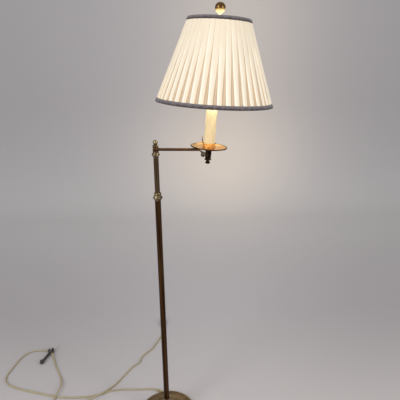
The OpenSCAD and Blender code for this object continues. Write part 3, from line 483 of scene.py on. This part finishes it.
dress(moulded("nylon", rgb(190, 184, 166), rgb(206, 200, 184), 0.4), "grip_bush", "guide_bush")
dress(moulded("fibre_washer", rgb(40, 34, 30), rgb(58, 50, 44), 0.5), "hub_washer", "tilt_washers")
dress(moulded("bush_rubber", rgb(128, 110, 70), rgb(156, 138, 92), 0.6), "flex_bush")
dress(moulded("switch_plastic", rgb(38, 35, 34), rgb(52, 48, 46), 0.32), "inline_switch", "plug_body")
dress(moulded("button_plastic", rgb(150, 146, 138), rgb(176, 172, 162), 0.3), "switch_button")
dress(moulded("liner_card", rgb(186, 170, 138), rgb(206, 190, 160), 0.7), "lampholder_liner")
dress(moulded("wire_enamel", rgb(214, 206, 190), rgb(226, 218, 204), 0.4), "shade_spider", "shade_ribs")
FLEX_JACKET = jacket()
dress(FLEX_JACKET, "base_flex", "mast_flex", "arm_flex", "head_flex")
flex_to_switch.data.materials.append(FLEX_JACKET)
flex_to_plug.data.materials.append(FLEX_JACKET)
print("finishes", len(bpy.data.materials))

# %% [markdown]
# The candle is an ivory plastic sleeve that the bulb lights from above; that light is painted on it
# as a little emission, most at its top end. The bulb is opal glass, which shines evenly over its
# whole surface.

# %% Candle and bulb
def candle():
    """Ivory sleeve with painted light from the bulb, brightest at its top."""
    low, high = (corner.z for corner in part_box("candle_sleeve"))
    f = Finish("candle_sleeve")
    lit = f.spread(f.parts(f.place())[2], low, high)
    mottle = f.noise(60.0, 4.0, 0.6)
    ivory = f.mix(mottle, rgb(206, 190, 150), rgb(220, 206, 170))
    # painted light: emission for the bulb's light on the sleeve, rising towards its top
    glow = f.mix(lit.power(1.4), rgb(36, 30, 16), rgb(112, 104, 78))
    f.bump(mottle, 0.1, 0.0003)
    return f.shine(Base_Color=ivory, Roughness=0.42, Emission_Color=glow, Emission_Strength=0.6)


def opal():
    f = Finish("bulb_opal")
    haze = f.noise(50.0, 3.0, 0.5)
    glow = f.mix(haze, rgb(255, 226, 170), rgb(255, 240, 205))
    return f.shine(Base_Color=rgb(250, 244, 232), Roughness=0.35, Emission_Color=glow,
                   Emission_Strength=1.6)


dress(candle(), "candle_sleeve")
dress(opal(), "bulb_glass")
print("finishes", len(bpy.data.materials))

# %% [markdown]
# ## Where the shade stands
#
# The shade leans with the candle, and a little less than it, so its pieces are easiest to build
# upright about their own axis and to move afterwards. The two bindings of the frame give that
# axis: the line through the middles of their boxes. Heights are measured up it from the shade's
# bottom edge, and radii out from it.

# %% The shade's own frame
def middle(node):
    low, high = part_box(node)
    return (low + high) / 2


def ring_sizes(node):
    """(lowest height, highest height, outside radius) of a ring about the shade's axis."""
    steps = [v.co - middle("bottom_trim") for v in NODES[node].data.vertices]
    heights = [step.dot(shade_up) for step in steps]
    return min(heights), max(heights), max((s - shade_up * h).length for s, h in zip(steps, heights))


shade_up = (middle("top_trim") - middle("bottom_trim")).normalized()
low_from, low_to, R_LOW = ring_sizes("bottom_trim")
high_from, high_to, R_HIGH = ring_sizes("top_trim")
SHADE_H = high_to - low_from
TRIM_LOW_H, TRIM_HIGH_H = low_to - low_from, high_to - high_from
SHADE_LEAN = Vector((0, 0, 1)).rotation_difference(shade_up).to_matrix().to_4x4()
SHADE_PLACE = Matrix.Translation(middle("bottom_trim") + shade_up * low_from) @ SHADE_LEAN
SLOPE = (R_LOW - R_HIGH) / (high_from - low_from)
print("shade", round(SHADE_H, 4), "high, radii", round(R_LOW, 4), round(R_HIGH, 4))


def edge_r(height):
    """Radius of the shade's outside at a height."""
    return R_LOW - SLOPE * height


def mesh_object(name, points, faces, crisp_from):
    """A mesh piece from points in the shade's own frame. Edges over crisp_from degrees stay crisp."""
    data = bpy.data.meshes.new(name)
    data.from_pydata([SHADE_PLACE @ Vector(p) for p in points], [], faces)
    data.update()
    made = bmesh.new()
    made.from_mesh(data)
    bmesh.ops.recalc_face_normals(made, faces=made.faces)
    made.to_mesh(data)
    made.free()
    data.polygons.foreach_set("use_smooth", [True] * len(data.polygons))
    data.set_sharp_from_angle(angle=math.radians(crisp_from))
    piece = bpy.data.objects.new(name, data)
    bpy.context.collection.objects.link(piece)
    return piece


# %% [markdown]
# ## The pleated cloth
#
# One long strip of cotton is folded into box pleats and stitched to the frame. At the bottom each
# pleat is a flat band with a gap beside it that is painted as shade. Towards the top the bands stay
# as wide as the circle allows, so the gaps close and only creases are left. A simulation would lose
# the crisp folds, so the cross-section of a pleat is drawn as a handful of points and every point
# is a formula of the height. Each point also has a mark, from 0 on an edge painted bright to 1 deep
# in a fold painted as shade, which the finish will read.

# %% One pleat
PLEATS = 44
CLOTH_T = 0.0008
PLEAT_DEEP = 0.0028
PLEAT_SHALLOW = 0.0007
GAP_LOW = 0.46
GAP_HIGH = 0.05
GAPS_CLOSE_AT = 0.86
LIP = 0.014
TUCK = 0.006


def eased(x):
    """0 to 1 with a slow start and a slow end."""
    x = min(max(x, 0.0), 1.0)
    return x * x * (3 - 2 * x)


def pleat_section(gap):
    """Points across one pleat: (place across it from 0 to 1, depth from 0 to 1, fold mark)."""
    band = 1 - gap
    return [(0.0, 0.30, 0.24), (LIP, 0.04, 0.0), (0.16 * band, 0.0, 0.04), (0.34 * band, -0.10, 0.2),
            (0.5 * band, -0.14, 0.28), (0.66 * band, -0.10, 0.3), (0.84 * band, 0.0, 0.32),
            (band - LIP, 0.05, 0.36), (band, 0.30, 0.6), (band - TUCK, 0.75, 0.9),
            (band + 0.25 * gap, 1.0, 0.94), (band + 0.55 * gap, 0.97, 0.8),
            (band + 0.85 * gap, 0.98, 0.95), (1.0 + TUCK, 0.75, 0.9)]


print("points across a pleat", len(pleat_section(GAP_LOW)))

# %% [markdown]
# The strip is then 44 pleats round and 30 rows up, with a second layer just inside it for the
# cloth's thickness. Small seeded errors in the width, the lie and the swell of each pleat, and in
# the height at which its gap closes, keep it from looking like a machine part.

# %% Cloth
CLOTH_ROWS = 30
EDGE_IN = 0.0016
TRIM_T = 0.0017
MERGED_MARK = 0.36
WIDTH_ERROR = 0.035
PLACE_ERROR = 0.05
SWELL_MOST = 0.00045
CLOSE_ERROR = (0.74, 1.1)
CREASE_SHOWS = (0.02, 0.34)
CRISP_CLOTH = 32


def build_cloth():
    """The pleated strip round the shade, both faces of it."""
    random.seed(11)
    width_error = [random.uniform(-WIDTH_ERROR, WIDTH_ERROR) for _ in range(PLEATS)]
    place_error = [random.uniform(-PLACE_ERROR, PLACE_ERROR) for _ in range(PLEATS)]
    swell = [random.uniform(0.0, SWELL_MOST) for _ in range(PLEATS)]
    close = [GAPS_CLOSE_AT * random.uniform(*CLOSE_ERROR) for _ in range(PLEATS)]
    crease = [random.uniform(*CREASE_SHOWS) for _ in range(PLEATS)]
    low, high = EDGE_IN, SHADE_H - EDGE_IN
    points, marks = [], []
    for row in range(CLOTH_ROWS + 1):
        share = row / CLOTH_ROWS
        height = low + (high - low) * share
        outside = edge_r(height) - TRIM_T
        for pleat in range(PLEATS):
            open_share = 1 - eased(share / close[pleat])
            gap = GAP_HIGH + (GAP_LOW + width_error[pleat] - GAP_HIGH) * open_share
            depth = PLEAT_SHALLOW + (PLEAT_DEEP - PLEAT_SHALLOW) * open_share
            free = math.sin(math.pi * share)
            for place, deep, mark in pleat_section(gap):
                turn = 2 * math.pi * (pleat + place + place_error[pleat] * free) / PLEATS
                radius = outside - depth * deep - swell[pleat] * free * (1 - deep)
                points.append((radius * math.cos(turn), radius * math.sin(turn), height))
                contrast = crease[pleat] + (1 - crease[pleat]) * open_share ** 0.4
                marks.append(MERGED_MARK + (mark - MERGED_MARK) * contrast)
    columns = len(points) // (CLOTH_ROWS + 1)
    inner = len(points)
    for index in range(inner):
        x, y, z = points[index]
        radius = math.hypot(x, y)
        points.append((x * (1 - CLOTH_T / radius), y * (1 - CLOTH_T / radius), z))
    insides = [0.0] * inner + [1.0] * inner
    marks += marks
    faces = []
    for side in (0, inner):
        for row in range(CLOTH_ROWS):
            for k in range(columns):
                a, b = side + row * columns + k, side + row * columns + (k + 1) % columns
                faces.append((a, b, b + columns, a + columns))
    for row in (0, CLOTH_ROWS):
        for k in range(columns):
            a, b = row * columns + k, row * columns + (k + 1) % columns
            faces.append((a, b, b + inner, a + inner))
    cloth = mesh_object("pleated_cloth", points, faces, CRISP_CLOTH)
    for title, values in (("fold", marks), ("inside", insides)):
        cloth.data.attributes.new(title, "FLOAT", "POINT").data.foreach_set("value", values)
    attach(cloth, "head")
    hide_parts("shade_cover")
    return cloth


cloth = build_cloth()
print("cloth", len(cloth.data.vertices), "points")

# %% [markdown]
# ## The cloth's finish
#
# The cotton is cream. Each flat band has a painted highlight along one edge, where a single layer
# turns in, and the gaps are painted tan as shade, because they are deep and because more layers
# filter the bulb behind them.
# Two marks stored on the mesh say how far into a fold a point is and whether it is on the inside.
# The finish reads them, so the colour follows the folds exactly. A little warm emission stands for
# the light that comes through the cloth, and the inside, which faces the bulb, has more of it.

# %% Cloth finish
def cotton():
    f = Finish("pleated_cotton")
    fold = f.node("ShaderNodeAttribute", {"attribute_name": "fold"}, None, "Fac")
    inside = f.node("ShaderNodeAttribute", {"attribute_name": "inside"}, None, "Fac")
    weave = f.noise(900.0, 2.0, 0.5)
    slub = f.noise(60.0, 4.0, 0.6, f.stretched((1, 1, 0.15)))
    # painted highlight on the band edges and painted shade deep in the folds, read from the fold mark
    stops = [(0.0, rgb(246, 243, 236)), (0.1, rgb(242, 236, 222)), (0.3, rgb(232, 221, 201)),
             (0.55, rgb(220, 201, 174)), (1.0, rgb(192, 168, 142))]
    fold_light_and_shade = f.node("ShaderNodeValToRGB", {"ramp": stops}, {"Fac": fold + (slub - 0.5) * 0.25})
    through = f.mix(fold, rgb(106, 98, 80), rgb(78, 64, 46))
    glow = f.mix(inside, through, rgb(255, 236, 196))
    f.bump(weave + slub * 0.6, 0.25, 0.0004)
    return f.shine(Base_Color=fold_light_and_shade, Roughness=0.9, Sheen_Weight=0.1, Emission_Color=glow,
                   Emission_Strength=0.8)


cloth.data.materials.append(cotton())
print("cloth finish", len(cloth.data.materials[0].node_tree.nodes), "nodes")

# %% [markdown]
# ## The bindings
#
# A folded strip of mauve-grey cloth is bound over both edges of the shade. It is a soft tube
# rather than a band: it swells between its edges and dips a little where it crosses each pleat.
# Its cross-section is a closed outline that is swept round the shade. A mark from 0 at the upper
# edge to 1 at the lower one lets the finish paint shade on it, darker downwards.

# %% Bindings
BINDING_TURNS = 264
BINDING_SWELL = 0.0015
BINDING_RIPPLE = 0.0003
BINDING_RISE = [0.0, 0.0, 0.12, 0.35, 0.62, 0.86, 1.0, 1.0]
BINDING_BULGE = [0.2, 0.75, 1.0, 1.0, 0.9, 0.6, 0.05, -0.9]
TAPE_T = 0.0008
TAPE_LAP = 0.0012
TURNED_IN = 0.003
HAIR = 0.0001
CRISP_TAPE = 60


def binding(name, node, edge, height, upward):
    """A binding over an edge. upward is 1 where it stands on the edge and -1 where it hangs."""
    random.seed(len(name))
    ripple = [random.uniform(0, 2 * math.pi) for _ in range(3)]
    points, under, count = [], [], 0
    for step in range(BINDING_TURNS):
        turn = 2 * math.pi * step / BINDING_TURNS
        wave = sum(math.sin(turn * n + p) for n, p in zip((PLEATS, 17, 29), ripple)) / 3
        ring = []
        for share, out in zip(BINDING_RISE, BINDING_BULGE):
            at = edge + upward * height * share
            radius = edge_r(at) - BINDING_SWELL + BINDING_SWELL * out * (0.85 + 0.15 * wave)
            ring.append((radius, at + upward * BINDING_RIPPLE * wave * share))
        inner = edge_r(edge) - TRIM_T - PLEAT_DEEP - CLOTH_T - TAPE_T
        ring += [(edge_r(ring[-1][1]) - TRIM_T - HAIR, ring[-1][1] - upward * TAPE_LAP / 2),
                 (edge_r(edge) - TRIM_T - HAIR, edge + upward * TAPE_LAP),
                 (inner + TAPE_T / 2, edge + upward * TAPE_LAP), (inner, edge + upward * TURNED_IN),
                 (inner - TAPE_T, edge + upward * TURNED_IN), (inner - TAPE_T, edge + upward * TAPE_T),
                 (inner + TAPE_T / 4, edge)]
        count = len(ring)
        points += [(r * math.cos(turn), r * math.sin(turn), z) for r, z in ring]
        under += [abs((upward < 0) - (1 - (z - edge) / (upward * height))) for r, z in ring]
    faces = []
    for step in range(BINDING_TURNS):
        here, there = step * count, (step + 1) % BINDING_TURNS * count
        for k in range(count):
            m = (k + 1) % count
            faces.append((here + k, here + m, there + m, there + k))
    piece = mesh_object(name, points, faces, CRISP_TAPE)
    piece.data.attributes.new("under", "FLOAT", "POINT").data.foreach_set("value", under)
    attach(piece, "head")
    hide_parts(node)
    return piece


low_binding = binding("binding_bottom", "bottom_trim", 0.0, TRIM_LOW_H, 1)
high_binding = binding("binding_top", "top_trim", SHADE_H, TRIM_HIGH_H, -1)
print("bindings", len(low_binding.data.vertices), "and", len(high_binding.data.vertices), "points")

# %% [markdown]
# The binding is painted lighter along its upper side and darker, as shade, towards its lower one,
# with soft patches along it. With both bindings made, the sheet can be written down as the maker
# would cut it: a flat strip, gathered onto the frame.

# %% The bindings' finish and the sheet
def tape():
    f = Finish("binding_tape")
    weave = f.noise(1200.0, 2.0, 0.5)
    fading = f.spread(f.noise(80.0, 3.0, 0.6), 0.3, 0.7)
    under = f.node("ShaderNodeAttribute", {"attribute_name": "under"}, None, "Fac")
    # painted shade: darker towards the lower side, which faces the floor, with soft random patches
    soil_and_shade = f.spread(under + (fading - 0.5) * 0.4, 0.2, 0.85)
    f.bump(weave, 0.4, 0.0004)
    return f.shine(Base_Color=f.mix(soil_and_shade, rgb(116, 109, 112), rgb(56, 47, 50)), Roughness=0.85,
                   Sheen_Weight=0.2)


TAPE = tape()
low_binding.data.materials.append(TAPE)
high_binding.data.materials.append(TAPE)
CLOTH_FLAT = (1.2, SHADE_H + 0.01)
print("flat cloth", [round(v, 3) for v in CLOTH_FLAT], "m")

# %% [markdown]
# ## Floor, wall and light
#
# The lamp stands on a pale floor that curves up into a wall, like a sheet of studio paper. The paper
# has painted light on it: a little paler behind the lamp, a warm painted pool of the lamp's light
# round the shade, painted shade towards its sides, and painted light on the near floor, in the bend
# and up the wall. These patches are set out from where the photographer stood, as steps aside and
# down for each metre away. Closer than a metre, and behind the photographer, the steps are those of
# one metre.

# %% Floor and wall
FLOOR_HALF = 3.4
WALL_AT = 2.9
WALL_TOP = 3.6
BEND_R = 0.9
BEND_STEPS = 16
NEAREST_PAPER = 1.0


def paper():
    """Pale paper with soft patches of painted light and shade."""
    f = Finish("studio_paper")
    x, y, z = f.parts(f.place())
    away = (y - CAMERA_AT.y).at_least(NEAREST_PAPER)
    aside = (x - CAMERA_AT.x) / away
    down = (CAMERA_AT.z - z) / away
    # painted light and shade: paler behind the lamp, a warm pool round the shade, lighter near floor,
    # bend and wall
    middle_share = (aside - 0.03).bell(0.34)
    glow = (aside - 0.06).bell(0.19) * (down - 0.22).bell(0.17)
    halo = (aside - 0.09).bell(0.17) * (down + 0.12).bell(0.2)
    near = f.spread(down, 0.66, 1.0)
    rise = (down - 0.37).bell(0.13) * 0.13 + (1 - f.spread(down, 0.38, 0.75)) * 0.12
    tone = f.mix(middle_share, rgb(165, 162, 165), rgb(184, 181, 184))
    tone = f.mix((glow + halo * 0.6).clamp(), tone, rgb(232, 220, 208))
    tone = f.mix(near * 0.5, tone, rgb(208, 203, 202))
    tone = f.mix(rise, tone, rgb(255, 255, 255))
    return f.shine(Base_Color=tone, Roughness=1.0, Specular_IOR_Level=0.0)


def add_backdrop():
    """A floor that bends up into a wall."""
    section = [(-FLOOR_HALF, 0.0)]
    for k in range(BEND_STEPS + 1):
        a = math.radians(90 * k / BEND_STEPS)
        section.append((WALL_AT - BEND_R + BEND_R * math.sin(a), BEND_R * (1 - math.cos(a))))
    section.append((WALL_AT, WALL_TOP))
    points = [(side * FLOOR_HALF, y, z) for y, z in section for side in (-1, 1)]
    faces = [(2 * k, 2 * k + 1, 2 * k + 3, 2 * k + 2) for k in range(len(section) - 1)]
    data = bpy.data.meshes.new("backdrop")
    data.from_pydata(points, [], faces)
    data.polygons.foreach_set("use_smooth", [True] * len(data.polygons))
    data.materials.append(paper())
    backdrop = bpy.data.objects.new("backdrop", data)
    bpy.context.collection.objects.link(backdrop)
    return backdrop


backdrop = add_backdrop()
print("backdrop", [round(v, 2) for v in backdrop.dimensions])

# %% [markdown]
# A tall soft lamp at the left and a weaker one at the right give the metal soft highlights, and the
# world fills the shadows. The bulb's own light is a small warm disc under the shade. It rides with
# the head and warms the candle and the pan, which the glow of the glass alone leaves too dark.

# %% Light
WORLD_LEVEL = 0.62
KEY_W = 42
FILL_W = 27
BULB_GLOW_W = 0.48
BULB_GLOW_D = 0.07
BULB_GLOW_DOWN = 0.03


def add_lamp(name, at, target, size, watts, colour=(1, 1, 1)):
    """A soft lamp of a width and a height that looks at a point."""
    data = bpy.data.lights.new(name, "AREA")
    data.shape, (data.size, data.size_y) = "RECTANGLE", size
    data.energy, data.color = watts, colour
    lamp = bpy.data.objects.new(name, data)
    lamp.location = at
    lamp.rotation_mode = "QUATERNION"
    lamp.rotation_quaternion = (Vector(target) - Vector(at)).to_track_quat("-Z", "Y")
    bpy.context.collection.objects.link(lamp)
    return lamp


def add_world(strength):
    """An even, faintly warm light from all sides."""
    world = bpy.data.worlds.new("world")
    world.use_nodes = True
    world.node_tree.nodes["Background"].inputs["Color"].default_value = (1.0, 0.985, 0.97, 1)
    world.node_tree.nodes["Background"].inputs["Strength"].default_value = strength
    bpy.context.scene.world = world


add_world(WORLD_LEVEL)
add_lamp("key", (-1.9, -2.0, 1.9), (0.1, 0, 0.9), (1.0, 2.2), KEY_W)
add_lamp("fill", (2.4, -1.6, 1.6), (0.1, 0, 0.8), (0.7, 1.8), FILL_W, (1, 0.98, 0.96))
glow = add_lamp("bulb_glow", middle("bulb_glass") - shade_up * BULB_GLOW_DOWN, middle("candle_cup"),
                (BULB_GLOW_D, BULB_GLOW_D), BULB_GLOW_W, (1.0, 0.87, 0.7))
glow.data.shape = "ELLIPSE"
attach(glow, "head")
print("lamps", [lamp.name for lamp in bpy.data.lights])

# %% [markdown]
# ## The view transform
#

# %% View transform
bpy.context.scene.view_settings.view_transform = "Standard"
